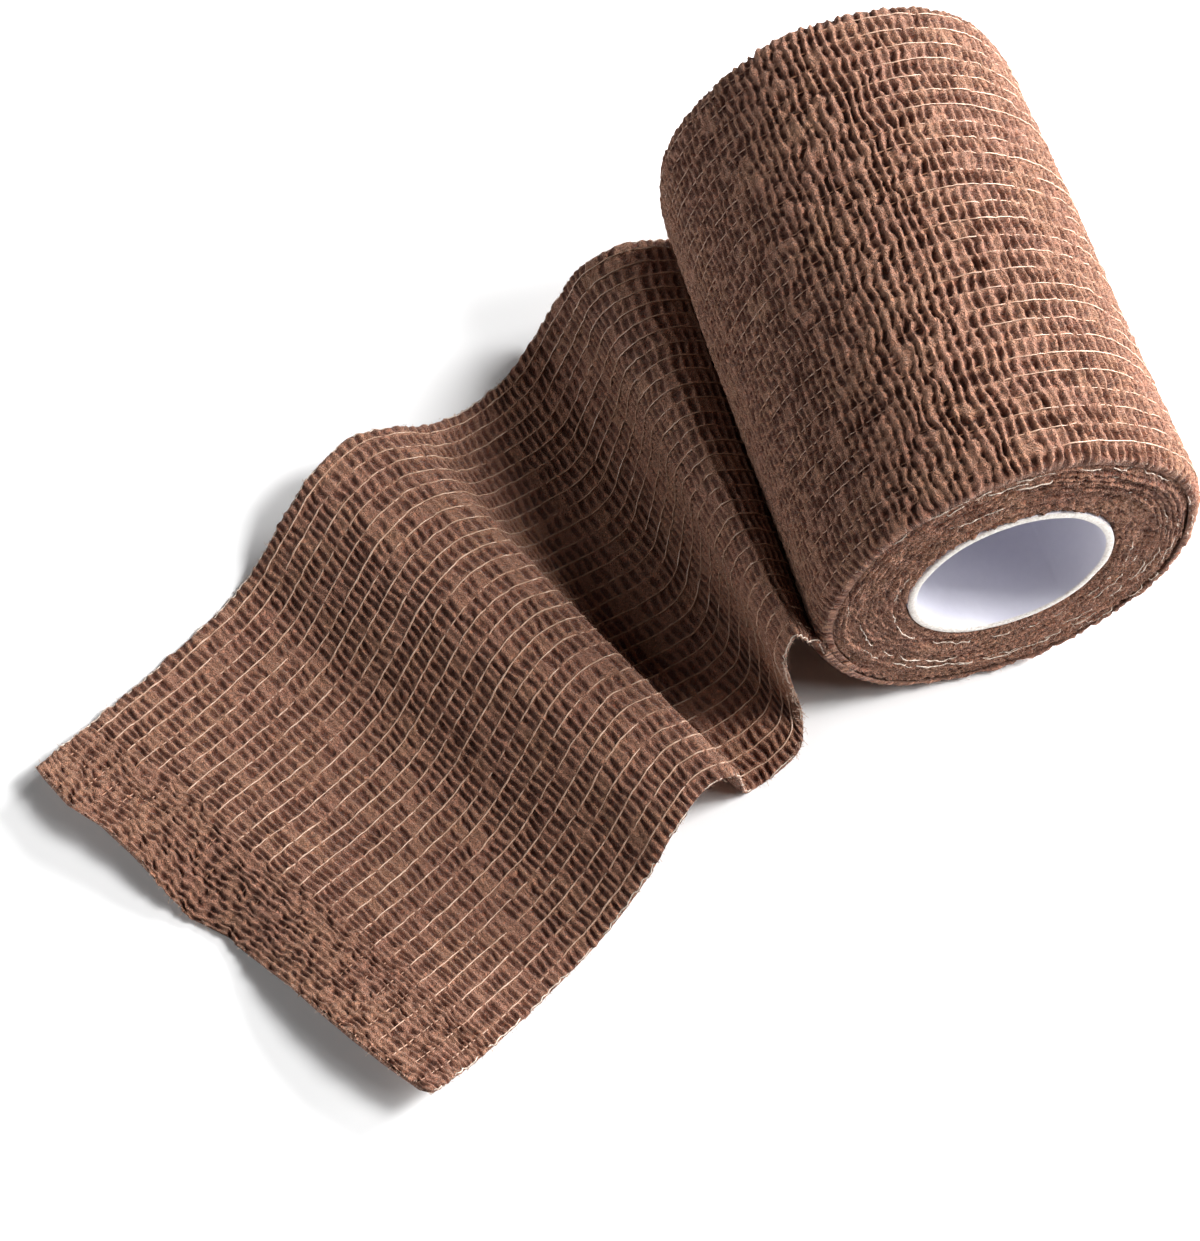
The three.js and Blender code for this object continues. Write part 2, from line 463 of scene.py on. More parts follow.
def lower_rows(inner_count):
    """Stations for a cloth's lower face: both rolled edges and a few between them."""
    last = len(stations) - 1
    inner = np.linspace(6, last - 6, inner_count).round().astype(int)
    return np.concatenate([[0], inner, [last]])


outer_start = middle_leaving + start_after_leaving


def outer_angle(ridge_place):
    """The angle round the axis at a ridge place of the outer turn."""
    return outer_start + ridge_place * degrees_per_ridge


def from_below(angle):
    """An angle counted from under the roll, between -90 and 270."""
    return np.mod(angle + 90, 360) - 90


def seen(number):
    return not underside[0] < outer_angle(number) % 360 < underside[1]


outer_ridges = ridge_columns(0, (last_angle - outer_start) / degrees_per_ridge, seen)
print(len(outer_ridges), "columns round the outer turn")


# %% Build the outer turn
def outer_turn_base(ridge_place, y):
    """Upper face of the outer turn without puckers."""
    angle = outer_angle(ridge_place)
    slant = 1 - smooth_step(outer_start, outer_start + 80, angle)
    angle = angle + (leaving_angle(y) - middle_leaving) * slant
    return around_axis(spiral_radius(angle, y) - rim_fall(y), angle, y)


def settle(amount, ridge_place, first, last):
    """Wander that fades to nothing at both ends, so that the ends stay where they belong."""
    near_end = smooth_step(0, 4, ridge_place - first) * smooth_step(0, 4, last - ridge_place)
    return amount * near_end


def roll_style_at(angle, lane):
    """Ladders on the side towards +X, ropes over the top and a net on the side of the loose end."""
    turned = from_below(angle)
    turned = turned + 14 * soft_noise(turned / 9, lane / 1.6, 23)
    one = blend_styles(ladder, ropes, smooth_step(*ropes_begin, turned))
    return blend_styles(one, net, smooth_step(*net_begins, turned))


def flatter_at_edge(height, y, width):
    """Puckers that get lower towards the two rolled edges."""
    return height * (0.4 + 0.6 * smooth_step(0, width, half_width - np.abs(y)))


def ragged_edge(ridge, y, amount, seed):
    """How far the two long edges stray outwards, in millimetres, and nothing further in."""
    at_edge = 1 - smooth_step(0, 0.9, half_width - np.abs(y))
    return amount * soft_noise(ridge / 0.7, y / 30, seed) * at_edge


def kept_values(hollow, hollow_below, ridge, lane, low_rows):
    """What the finish has to know at each point: how hollow it is, its ridge and its lane."""
    upper_and_lower = {
        "hollow": (hollow, np.full(hollow[low_rows].shape, hollow_below)),
        "ridge": (ridge, ridge[low_rows]),
        "lane": (lane, lane[low_rows]),
    }
    return {
        key: np.concatenate([grid.ravel() for grid in grids])
        for key, grids in upper_and_lower.items()
    }


def build_outer_turn():
    ridge, y = np.meshgrid(outer_ridges, stations)
    lane = np.broadcast_to(lane_place[:, None], ridge.shape)
    wander = settle(0.46 * ridge_wander(ridge, lane, 11), ridge, 0, outer_ridges[-1])
    base = outer_turn_base(ridge + wander, y)
    normal = unit_normals(outer_turn_base(ridge, y))
    character = roll_style_at(outer_angle(ridge), lane)
    height, hollow = pucker(ridge, lane, character, 100)
    height = height + 0.16 * crumple(ridge, lane, 17)
    turned = np.mod(outer_angle(ridge), 360)
    # The net lies on the shaded side, so its pits count as deeper for the colour: painted shade.
    hollow = np.clip(hollow * (1 + 0.5 * smooth_step(*net_begins, turned)), 0, 1)
    below = band(*underside, 6, turned)
    height = flatter_at_edge(height, y, 0.9) * (1 - 0.5 * below) - 0.10
    upper = base + normal * height[..., None]
    upper[..., 1] += np.sign(y) * ragged_edge(ridge, y, 0.30, 19)
    low_rows = lower_rows(7)
    lower = outer_turn_base(ridge, y)[low_rows]
    from_axis = (lower - np.array([0.0, 0.0, axis_height])) * np.array([1.0, 0.0, 1.0])
    lower = lower - unit(from_axis) * cloth_thickness
    points, faces = shell(above_surface(upper), above_surface(lower, 0.01))
    values = kept_values(hollow, 0.3, ridge, lane, low_rows)
    return add_piece("outer_turn", points, faces, values), upper


outer_turn, outer_face = build_outer_turn()
print("outer turn:", triangles_of(outer_turn), "triangles")


# %% [markdown]
# ## The wound turns
# Inside the outer turn the layers lie pressed together, and only their edges show, as fine spiral
# lines on the two end faces. One closed ring carries them all. Its end faces are a fine grid in
# which each layer is a small rounded edge, uneven and puckered, with a groove to the next.

# %% Rings of points across an end face
layer_pitch = 0.78
hole_radius = core_radius + 0.2
core_shift = (0.2, 0.6)
face_columns = 460
LAYER_SHARES = np.array([0.0, 0.22, 0.5, 0.78])


def body_radius(angle, y):
    """Radius of the second turn's upper face: the outer turn's lower face rests on it."""
    turned = outer_start + np.mod(angle - outer_start, 360)
    return spiral_radius(turned + 360, y) - 0.05


def end_face(side, seed, gaps):
    """Points of an end face [ring, column], from the hole outwards, and how hollow each is."""
    angle = np.linspace(0, 360, face_columns, endpoint=False)
    y = side * half_width
    outside = body_radius(angle, y) - rim_fall(y)
    rings = int(round((roll_radius - rim_drop - turn_step - hole_radius) / layer_pitch))
    share = np.concatenate([k + LAYER_SHARES for k in range(rings)] + [[float(rings)]]) / rings
    a = np.radians(angle)
    hole_edge = hole_radius + (core_shift[0] * np.cos(a) + core_shift[1] * np.sin(a))
    radius = hole_edge + (outside - hole_edge)[None] * share[:, None]
    turned = np.broadcast_to(angle[None], radius.shape)
    layer = share[:, None] * rings + side * turned / 360
    in_layer = layer - np.floor(layer)
    number = np.floor(layer)
    edge = 1 - np.abs(2 * in_layer - 1) ** 3
    along = np.radians(turned) * radius
    jut = soft_noise(along / 9, number, seed) * 0.22
    crinkle = soft_noise(along / 0.70, layer * 1.6, seed + 1)
    grain = soft_noise(along / 0.36, layer * 3.0, seed + 2)
    deep = np.full(radius.shape, 0.13)
    for inner, outer, first, last, extra in gaps:
        deep = deep + extra * band(inner, outer, 0.4, radius) * band(first, last, 12, turned)
    out = edge * deep + jut + 0.26 * crinkle + 0.24 * grain - 0.30
    rounding = 0.25 * smooth_step(0.94, 1.0, share)[:, None] ** 2
    points = around_axis(radius, turned, side * (half_width + out - rounding))
    # Painted shade in the grooves between layers, plus random darkening with the crinkle and grain.
    hollow = np.clip((1 - edge) * deep * 2.0 + 0.10 - 0.60 * crinkle - 0.60 * grain, 0, 1)
    return points, hollow


# Each row: inner and outer radius, first and last angle, and how much deeper the grooves are there.
near_gaps = [(20.2, 23.6, 0, 75, 0.5), (22.5, 25.4, 130, 180, 0.35)]
far_gaps = [(19.0, 22.0, 40, 120, 0.4), (21.5, 24.0, 250, 320, 0.3)]


# %% Build the wound turns as one closed ring
def build_wound_turns():
    near, near_hollow = end_face(-1, 31, near_gaps)
    far, far_hollow = end_face(1, 41, far_gaps)
    angle = np.linspace(0, 360, face_columns, endpoint=False)
    barrel = np.stack([
        around_axis(body_radius(angle, y) - rim_fall(y), angle, y)
        for y in (-35.5, -33.5, -20.0, 0.0, 20.0, 33.5, 35.5)
    ])
    loops = np.concatenate([near, barrel, far[::-1]])
    hollow = np.concatenate([near_hollow, np.full(barrel.shape[:2], 0.3), far_hollow[::-1]])
    points = above_surface(loops.reshape(-1, 3), 0.03)
    return add_piece("wound_turns", points, ring_faces(*loops.shape[:2]), {"hollow": hollow})


wound_turns = build_wound_turns()
print("wound turns:", triangles_of(wound_turns), "triangles")


# %% [markdown]
# ## The loose end
# The loose end carries on from the outer turn. It rises in a crest beside the roll, drops into a
# valley, rises again, and runs flat to its cut end, whose corners curl up. The table has the middle
# of the cloth at its near and far edge for each fold, and a curve through them gives every line
# along the cloth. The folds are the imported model's, with changes of a few millimetres where the
# photograph's shading shows them fuller: mostly on both sides of the second crest.

# %% The folds, from the roll to the cut end
folds = [
    # near edge, far edge, how far the middle bulges in x and z, how far it is pressed down
    ((-29.0, -37.7, 26.4), (-30.6, 36.5, 15.2), (-1.3, 0.0), 0),  # crest one
    ((-30.1, -37.4, 20.5), (-36.9, 36.4, 12.6), (-0.8, 0.0), 0),  # shoulder
    ((-28.2, -37.2, 9.6), (-40.8, 36.1, 6.4), (0.0, 0.0), 0),  # slope
    ((-27.1, -38.6, 4.0), (-45.0, 33.8, 1.8), (0.0, -0.6), 0),  # foot
    ((-28.7, -42.6, 2.6), (-50.3, 29.0, 0.6), (0.0, -0.9), 0),  # valley start
    ((-36.6, -45.8, 0.6), (-57.6, 24.7, 0.6), (-3.4, 0.0), 0),  # valley end
    ((-38.4, -47.2, 6.8), (-64.6, 20.5, 5.0), (-2.5, 0.0), 0),  # rise
    ((-40.9, -49.0, 14.4), (-70.5, 18.9, 9.2), (0.0, 0.2), 0),  # crest two
    ((-44.9, -50.1, 14.4), (-75.6, 18.4, 9.9), (0.0, 0.3), 0),  # brow
    ((-49.8, -53.8, 13.0), (-82.6, 14.9, 8.8), (0.0, 0.8), 0),  # fall
    ((-54.8, -57.4, 7.6), (-88.6, 10.2, 5.4), (0.0, 0.5), 0),  # second foot
    ((-61.6, -61.4, 2.6), (-95.5, 4.6, 0.8), (0.0, -0.7), 0),  # flat start
    ((-71.0, -66.8, 0.8), (-106.7, -3.2, 0.6), (0.0, 0.0), 0.5),  # flat middle
    ((-81.5, -73.4, 3.2), (-120.6, -11.6, 1.2), (0.0, 1.2), 0),  # curl
    ((-88.6, -77.1, 5.4), (-128.9, -17.8, 4.2), (0.0, 0.0), 1),  # cut end
]
touch_at = 0.53
touch_width = 0.17


# %% A curve through each row of fold points
def fold_rows(share):
    """Middle of the cloth at each share across the width: [row, fold, xyz]."""
    y = -half_width + bandage_width * share
    rows = []
    for after in (start_after_leaving, start_after_leaving / 2, 0.0):
        angle = leaving_angle(y) + after
        radius = spiral_radius(angle, y) - rim_fall(y) - cloth_thickness / 2
        rows.append(around_axis(radius, angle, y))
    angle = leaving_angle(y) - root_deg
    rows.append(around_axis(spiral_radius(angle + 360, y) + solid_gap + solid_rest, angle, y))
    pressed_by = hump(share, touch_at, touch_width)
    in_middle = 4 * share * (1 - share)
    for near, far, bulge, press in folds:
        point = np.array(near) + (np.array(far) - np.array(near)) * share[:, None]
        point[:, 0] += bulge[0] * in_middle
        point[:, 2] += bulge[1] * in_middle
        pull = press * pressed_by
        point[:, 2] = point[:, 2] * (1 - pull) + solid_rest * pull
        rows.append(point)
    return np.stack(rows, axis=1)


def through_points(knots, steps):
    """A centripetal curve through each row of knots, with some steps between knots."""
    ends = np.stack([2 * knots[:, 0] - knots[:, 1], 2 * knots[:, -1] - knots[:, -2]])
    full = np.concatenate([ends[0][:, None], knots, ends[1][:, None]], axis=1)
    pieces = []
    for k in range(1, full.shape[1] - 2):
        p0, p1, p2, p3 = (full[:, k + step] for step in (-1, 0, 1, 2))
        d0, d1, d2 = (
            np.maximum(np.linalg.norm(b - a, axis=-1, keepdims=True), 1e-4) ** 0.5
            for a, b in ((p0, p1), (p1, p2), (p2, p3))
        )
        t1 = ((p1 - p0) / d0 - (p2 - p0) / (d0 + d1) + (p2 - p1) / d1) * d1
        t2 = ((p2 - p1) / d1 - (p3 - p1) / (d1 + d2) + (p3 - p2) / d2) * d1
        for s in np.arange(steps) / steps:
            cubic = (2 * s**3 - 3 * s**2 + 1) * p1 + (s**3 - 2 * s**2 + s) * t1
            cubic = cubic + (3 * s**2 - 2 * s**3) * p2 + (s**3 - s**2) * t2
            pieces.append(cubic)
    pieces.append(full[:, -2])
    return np.stack(pieces, axis=1)


curve_steps = 24
loose_shares = stations / bandage_width + 0.5
loose_middle = through_points(fold_rows(loose_shares), curve_steps)
lengths = np.linalg.norm(np.diff(loose_middle, axis=1), axis=-1).cumsum(axis=1)
lengths = np.concatenate([np.zeros((len(stations), 1)), lengths], axis=1)
mean_length = lengths.mean(axis=0)
line_lengths = [round(float(lengths[k, -1]), 1) for k in (0, len(stations) // 2, -1)]
print("loose end:", line_lengths, "mm long at its near edge, middle and far edge")

# %% [markdown]
# The ridges are widest apart over the crests, where the cloth is least gathered, and closest in the
# last centimetre, where cutting has let the threads slip back and the cloth has bunched up.

# %% Ridge places along the loose end
strip_length = {"near": 12.3, "far": 9.3}
pitch_places = [0.0, 50.0, 70.0, 110.0, 114.0, 119.0, 140.0]
pitch_values = [1.40, 1.40, 1.32, 1.22, 1.16, 0.86, 0.84]
even_length = np.arange(0, mean_length[-1], 0.05)
ridge_at_length = np.cumsum(0.05 / np.interp(even_length, pitch_places, pitch_values))
ridge_total = ridge_at_length[-1]
loose_ridges = ridge_columns(0, ridge_total - 0.2, lambda number: True)
print(len(loose_ridges), "columns along the loose end,", int(ridge_total), "ridges")


# %% [markdown]
# The cut isn't straight. Here it stands out a little further in a few places, each given as its
# share of the width, its half-width and how far it stands out.

# %% The uneven cut
cut_bulges = [(0.18, 0.16, 1.0), (0.62, 0.08, 1.1), (0.88, 0.05, 0.8)]


def cut_line(share):
    """How far the cut stands out beyond the straight line, in millimetres."""
    out = 0.35 + 0.25 * soft_noise(share * 22, 0 * share, 63)
    out = out + 0.22 * soft_noise(share * 110, 0 * share, 64)
    for place, half, reach in cut_bulges:
        out = out + reach * hump(share, place, half)
    return out * smooth_step(0, 0.03, share) * smooth_step(0, 0.03, 1 - share)


def loose_base(ridge_place, share):
    """Middle of the loose end at ridge places [row, column], stretched out to the uneven cut."""
    length = np.interp(ridge_place, ridge_at_length, even_length)
    place = np.interp(length, mean_length, np.arange(len(mean_length), dtype=float))
    low = np.clip(np.floor(place).astype(int), 0, loose_middle.shape[1] - 2)
    part = (place - low)[..., None]
    row = np.broadcast_to(np.arange(loose_middle.shape[0])[:, None], low.shape)
    points = loose_middle[row, low] * (1 - part) + loose_middle[row, low + 1] * part
    outward = unit(loose_middle[:, -1] - loose_middle[:, -12])
    near_cut = smooth_step(mean_length[-1] - 9, mean_length[-1], length)
    return points + outward[:, None] * (near_cut * cut_line(share))[..., None]


# %% Build the loose end
def strip_share(ridge_place, share_across):
    """0 on the flat cloth and 1 in the bunched strip at the cut end."""
    length = np.interp(ridge_place, ridge_at_length, even_length)
    from_end = mean_length[-1] - length
    long = strip_length["near"] + (strip_length["far"] - strip_length["near"]) * share_across
    long = long + 0.7 * soft_noise(share_across * 14, 0 * share_across, 61)
    return 1 - smooth_step(long - 0.5, long + 0.5, from_end)


def build_loose_end():
    ridge, y = np.meshgrid(loose_ridges, stations)
    share = np.broadcast_to(loose_shares[:, None], ridge.shape)
    lane = np.broadcast_to(lane_place[:, None], ridge.shape)
    strip = strip_share(ridge, share)
    wander = (0.32 + 0.08 * strip) * ridge_wander(ridge, lane, 51)
    wander = wander + strip * 0.24 * soft_noise(ridge / 1.6, lane * 2.3, 52)
    wander = settle(wander, ridge, 0, loose_ridges[-1] + 3)
    base = loose_base(np.clip(ridge + wander, 0, ridge_total - 0.05), share)
    normal = unit_normals(loose_base(ridge, share))
    height, hollow = pucker(ridge, lane, blend_styles(flat_cloth, bunched, strip), 300)
    height = height + 0.10 * crumple(ridge, lane, 57)
    height = height + strip * 0.10 * soft_noise(ridge / 2.2, lane / 1.6, 58)
    from_edge = half_width - np.abs(y)
    level = cloth_thickness / 2 - 0.02
    rounded = level * (0.15 + 0.85 * smooth_step(0, 0.5, from_edge))
    height = flatter_at_edge(height, y, 0.6) + rounded
    outwards = np.sign(y) * ragged_edge(ridge, y, 0.28, 59)
    across = unit(np.gradient(base, axis=0))
    upper = base + normal * height[..., None] + across * outwards[..., None]
    low_rows = lower_rows(13)
    low_base = loose_base(ridge, share)[low_rows]
    low_normal = normal[low_rows]
    sink = np.full(low_base.shape[:2], cloth_thickness / 2)
    sink[[0, -1]] *= 0.3
    lower = low_base - low_normal * (sink + 0.08 * np.cos(2 * math.pi * ridge[low_rows]))[..., None]
    points, faces = shell(above_surface(upper, 0.12), above_surface(lower))
    values = kept_values(hollow, 0.25, ridge, lane, low_rows)
    return add_piece("loose_end_cloth", points, faces, values), upper


loose_end, loose_face = build_loose_end()
print("loose end:", triangles_of(loose_end), "triangles")


# %% [markdown]
# ## The elastic threads
# Thin pale threads run the whole length, bedded in the cloth and bridging the hollows. Each is a
# small five-sided tube that follows the cloth's own surface, rising over ridges and dipping a
# little between them. All threads of one stretch are joined in one mesh.


# %% Tubes along many lines at once
SLANTED = np.array([0.13, 0.2, 0.97])  # a direction that none of the lines follows


def tubes(lines, radius, sides=5, side_of=None):
    """Points and faces of closed tubes: lines [line, step, xyz]; radius may vary along them."""
    count, steps = lines.shape[:2]
    forward = unit(np.gradient(lines, axis=1))
    if side_of is None:
        side_of = np.broadcast_to(SLANTED, lines.shape)
    side = unit(np.cross(forward, side_of))
    over = np.cross(side, forward)
    turn_by = np.arange(sides) * 2 * math.pi / sides
    ring = side[:, :, None] * np.cos(turn_by)[:, None] + over[:, :, None] * np.sin(turn_by)[:, None]
    thick = np.broadcast_to(np.asarray(radius, float), (count, steps))
    points = lines[:, :, None] + ring * thick[:, :, None, None]
    index = np.arange(count * steps * sides).reshape(count, steps, sides)
    index = np.concatenate([index, index[:, :, :1]], axis=2)
    faces = []
    for one in index:
        faces += grid_faces(one)
        faces.append(one[0, :-1].tolist())
        faces.append(one[-1, -2::-1].tolist())
    return points.reshape(-1, 3), faces


thread_rows = np.searchsorted(stations, thread_lines - 1e-6)
THREAD_STEP = 0.5
THREAD_SIDES = 5


# %% Lay threads over a surface
def lay_threads(base_at, last_ridge, level, seed):
    """Lines over a surface, its normals, and the ridge and thread numbers along them."""
    steps = np.arange(0.3, last_ridge, THREAD_STEP)
    ridge = np.broadcast_to(steps[None], (len(stations), len(steps)))
    points = base_at(ridge)
    normal = unit_normals(points)[thread_rows]
    points = points[thread_rows]
    ridge = ridge[thread_rows]
    number = np.arange(thread_count)[:, None] + 0 * ridge
    height = level + 0.08 * np.cos(2 * math.pi * ridge)
    height = height + 0.07 * soft_noise(ridge / 0.9, number * 3.0, seed + 1)
    beside = unit(np.cross(normal, np.gradient(points, axis=1)))
    sway = 0.09 * soft_noise(ridge / 1.3, number * 5.0, seed + 2)
    sway = sway + 0.12 * soft_noise(ridge / 6, number * 5.0, seed + 3)
    return points + normal * height[..., None] + beside * sway[..., None], normal, ridge, number


def beads(steps, number, seed):
    """Short swellings where a thread comes up between two ridges, mostly in every second one."""
    place = steps * THREAD_STEP / 1.6 + 0.7 * soft_noise(steps / 9, number * 3.0, seed + 5)
    strong = 0.5 + 0.5 * soft_noise(steps / 3.1, number * 5.0, seed + 6)
    return strong * np.cos(2 * math.pi * place)


def add_threads(name, lines, normals, bare, radius, seed):
    """Tubes along the lines; bare is 1 where a thread lies open and 0 where fibres cover it."""
    lines = lines - normals * (0.5 * (1 - bare))[..., None]
    steps = np.arange(lines.shape[1])[None] + np.zeros((len(lines), 1))
    number = np.arange(len(lines))[:, None] + 0 * steps
    uneven = 1 + 0.3 * soft_noise(steps / 2.2, number * 7.0, seed)
    radius = radius * (uneven + 0.25 * beads(steps, number, seed))
    points, faces = tubes(above_surface(lines, 0.1), radius, THREAD_SIDES, normals)
    return add_piece(name, points, faces, {"bare": np.repeat(bare, THREAD_SIDES)})


# %% Threads on the loose end
loose_grid_shares = np.broadcast_to(loose_shares[:, None], (len(stations), 1))
lines, normals, ridge, number = lay_threads(
    lambda ridge: loose_base(ridge, loose_grid_shares + 0 * ridge),
    last_ridge=ridge_total - 0.6, level=cloth_thickness / 2 + 0.16, seed=71,
)
thread_shares = loose_shares[thread_rows][:, None] + 0 * ridge
patchy = 0.80 + 0.25 * soft_noise(ridge / 5, number * 1.7, 75)
patchy = patchy + 0.30 * soft_noise(ridge / 0.9, number * 9.0, 76)
kept = smooth_step(0.30, 0.12, thread_shares + 0.1 * soft_noise(ridge, number * 3.3, 77))
bare = np.clip(patchy, 0, 1) * (1 - strip_share(ridge, thread_shares) * (1 - 0.7 * kept))
loose_threads = add_threads("loose_end_threads", lines, normals, bare, radius=0.10, seed=78)
print("threads on the loose end:", triangles_of(loose_threads), "triangles")

# %% [markdown]
# The outermost thread on each side lies right in the cut edge, half bare, and shows as a pale line
# along it. It follows the edge of the finished upper face, so that it never floats off it.


# %% Yarn in the two long edges of the loose end
def edge_lines(face):
    """A line along each long edge, just inside it, that dives under the cloth here and there."""
    lines = np.stack([face[2], face[-3]])[:, 2:-2:2]
    steps = np.arange(lines.shape[1])[None] + np.array([[0.0], [500.0]])
    dive = smooth_step(0.15, 0.5, soft_noise(steps / 4.0, 0 * steps, 79))
    lines[..., 2] += 0.05 * soft_noise(steps / 1.7, 0 * steps, 80) - 0.35 * dive
    return lines


edge_yarn_lines = edge_lines(loose_face)
points, faces = tubes(above_surface(edge_yarn_lines, 0.12), 0.10)
edge_yarn = add_piece("loose_end_edge_yarn", points, faces)
print("edge yarn:", triangles_of(edge_yarn), "triangles")

# %% Threads round the outer turn
lines, normals, ridge, number = lay_threads(
    lambda ridge: outer_turn_base(ridge, np.broadcast_to(stations[:, None], ridge.shape)),
    last_ridge=outer_ridges[-1] - 0.2, level=0.16, seed=81,
)
turned = from_below(outer_angle(ridge))
patchy = 0.72 + 0.5 * soft_noise(ridge / 6, number * 1.7, 85)
patchy = patchy + 0.4 * soft_noise(ridge / 0.8, number * 9.0, 86)
under_ropes = smooth_step(80, 104, turned) * (1 - 0.4 * smooth_step(120, 145, turned))
bare = np.clip(patchy, 0, 1) * (1 - 0.9 * under_ropes)
roll_threads = add_threads("outer_turn_threads", lines, normals, bare, radius=0.085, seed=88)
print("threads on the roll:", triangles_of(roll_threads), "triangles")

# %% [markdown]
# ## Yarn at the end faces
# The outermost threads of some turns lie right at the edge and show as short pale arcs on the end
# faces. Each row of the table is one arc: its radius and the angles between which it shows.

# %% Arcs of yarn on the end faces
near_arcs = [
    (15.9, 155, 222), (15.9, 236, 285), (16.5, 288, 336), (20.2, 190, 258), (21.6, 206, 262),
    (22.1, 236, 300), (23.0, -16, 14), (23.2, 20, 54), (22.8, 50, 96), (20.5, 10, 48),
    (20.4, 296, 345), (21.8, 268, 312), (24.5, 36, 78), (16.9, -14, 12), (23.6, 92, 118),
    (19.0, 100, 126), (24.6, 84, 108), (24.9, -4, 26), (24.0, 300, 338), (18.3, 318, 352),
    (21.4, -24, 22), (22.4, 150, 182), (24.4, 110, 140),
]
far_arcs = [
    (16.2, 20, 70), (18.4, 150, 210), (21.0, 95, 150), (23.3, 230, 262), (22.4, 300, 345),
    (19.6, 330, 380), (24.0, 60, 88), (17.4, 255, 290), (22.0, 10, 55), (24.2, 170, 205),
]


def arc_lines(arcs, side, seed):
    """Lines along the arcs that shake a little and dive under the cloth here and there."""
    steps = 90
    lines = []
    for number, (radius, first, last) in enumerate(arcs):
        angle = np.linspace(first, last, steps)
        along = np.radians(angle) * radius
        shake = soft_noise(along / 0.7, 0 * angle + number * 7.0, seed)
        rise = soft_noise(along / 1.1, 0 * angle + number * 5.0, seed + 1)
        dive = smooth_step(0.1, 0.5, soft_noise(along / 1.9, 0 * angle + number * 9.0, seed + 5))
        y = side * (half_width + 0.04 + 0.18 * rise - 0.5 * dive)
        lines.append(around_axis(radius + 0.20 * shake, angle, y))
    return np.stack(lines)


arcs = np.concatenate([arc_lines(near_arcs, -1, 91), arc_lines(far_arcs, 1, 93)])
arc_shapes = np.arange(arcs.shape[1])[None] + np.arange(len(arcs))[:, None] * 100.0
yarn_radius = 0.075 * (1 + 0.45 * soft_noise(arc_shapes / 2.3, 0 * arc_shapes, 94))
along_roll = np.broadcast_to([0.0, 1.0, 0.0], arcs.shape)
points, faces = tubes(above_surface(arcs, 0.1), yarn_radius, side_of=along_roll)
end_yarn = add_piece("end_face_yarn", points, faces)
print("end yarn:", len(arcs), "arcs,", triangles_of(end_yarn), "triangles")

# %% [markdown]
# ## The core
# The white core is a thin tube. Its rims are cut a little unevenly, and a faint straight seam runs
# down the inside, so it is turned as a profile of rings with small offsets and not as a bare
# cylinder.


# %% Build the core
def build_core():
    columns = 240
    inner = core_radius - core_wall
    outer = core_radius - 0.02
    round_off = 0.28
    half = half_width
    profile = [
        (inner, -half + round_off), (inner + 0.08, -half + 0.1), (inner + round_off, -half),
        (outer - round_off, -half), (outer - 0.08, -half + 0.1), (outer, -half + round_off),
        (outer, 0.0), (outer, half - round_off), (outer - 0.08, half - 0.1),
        (outer - round_off, half), (inner + round_off, half), (inner + 0.08, half - 0.1),
        (inner, half - round_off), (inner, half / 3), (inner, -half / 3),
    ]
    angle = np.linspace(0, 360, columns, endpoint=False)
    seam = hump(angle, 312, 1.6)
    loops = []
    for number, (radius, y) in enumerate(profile):
        at_rim = 1.0 if abs(y) > half - 0.4 else 0.0
        cut = 0.07 * at_rim * soft_noise(angle / 14, 0 * angle + np.sign(y), 95)
        dent = 0.12 * seam if radius < inner + 0.2 else 0.0
        bow = 0.03 * soft_noise(angle / 40, 0 * angle, 96)
        loops.append(around_axis(radius + dent + bow, angle, y + cut))
    rims = np.array([1.0 if abs(y) > half - 0.25 else 0.0 for _, y in profile])
    loops = np.stack(loops) + np.array([core_shift[0], 0, core_shift[1]])
    faces = ring_faces(len(profile), columns)
    return add_piece("core_tube", loops.reshape(-1, 3), faces, {"rim": np.repeat(rims, columns)})


core_tube = build_core()
print("core:", triangles_of(core_tube), "triangles")

# %% [markdown]
# ## Loose fibres
# Nonwoven cloth sheds short fibres at its cut edges. They are too thin to see one by one, but
# together they soften an edge. Each is a thin three-sided tube, rooted in the cloth and bent over.


# %% Fibres rooted at chosen places
def fibres(roots, outwards, count, reach, seed):
    """Curved short lines from randomly chosen roots, bending away from outwards."""
    random = np.random.default_rng(seed)
    chosen = random.integers(0, len(roots), count)
    start = roots[chosen] + random.normal(0, 0.12, (count, 3))
    lean = outwards[chosen] * random.uniform(0.3, 1.0, (count, 1))
    lean = lean + random.normal(0, 0.45, (count, 3))
    bend = random.normal(0, 0.8, (count, 3))
    length = reach * random.uniform(0.35, 1.0, (count, 1)) ** 1.6
    steps = np.linspace(0, 1, 4)[None, :, None]
    path = lean[:, None] * steps + bend[:, None] * 0.5 * steps**2
    return start[:, None] + length[:, None] * path


def edge_roots(face, rows):
    """Points of some rows of a cloth's upper face, and the way out across its edge."""
    roots = face[rows]
    inner = face[6] if rows[0] == 0 else face[-7]
    away = unit(roots - inner[None])
    return roots.reshape(-1, 3), away.reshape(-1, 3)


def cut_roots(face):
    roots = face[:, -2:]
    away = unit(roots - face[:, -14][:, None])
    return roots.reshape(-1, 3), away.reshape(-1, 3)


def standing_edge_roots(face):
    """The near edge where it stands upright beside the roll, which is the most frayed part."""
    edge = face[:3].reshape(-1, 3)
    upright = edge[(edge[:, 0] > -31) & (edge[:, 1] < -36) & (edge[:, 2] > 2) & (edge[:, 2] < 20)]
    return upright, np.broadcast_to([-0.5, -0.6, 0.3], upright.shape)


def add_fibres(name, tufts):
    """One mesh of thin three-sided tubes from several lots of fibres."""
    lines = above_surface(np.concatenate(tufts), 0.03)
    points, faces = tubes(lines, radius=0.028, sides=3)
    return add_piece(name, points, faces)


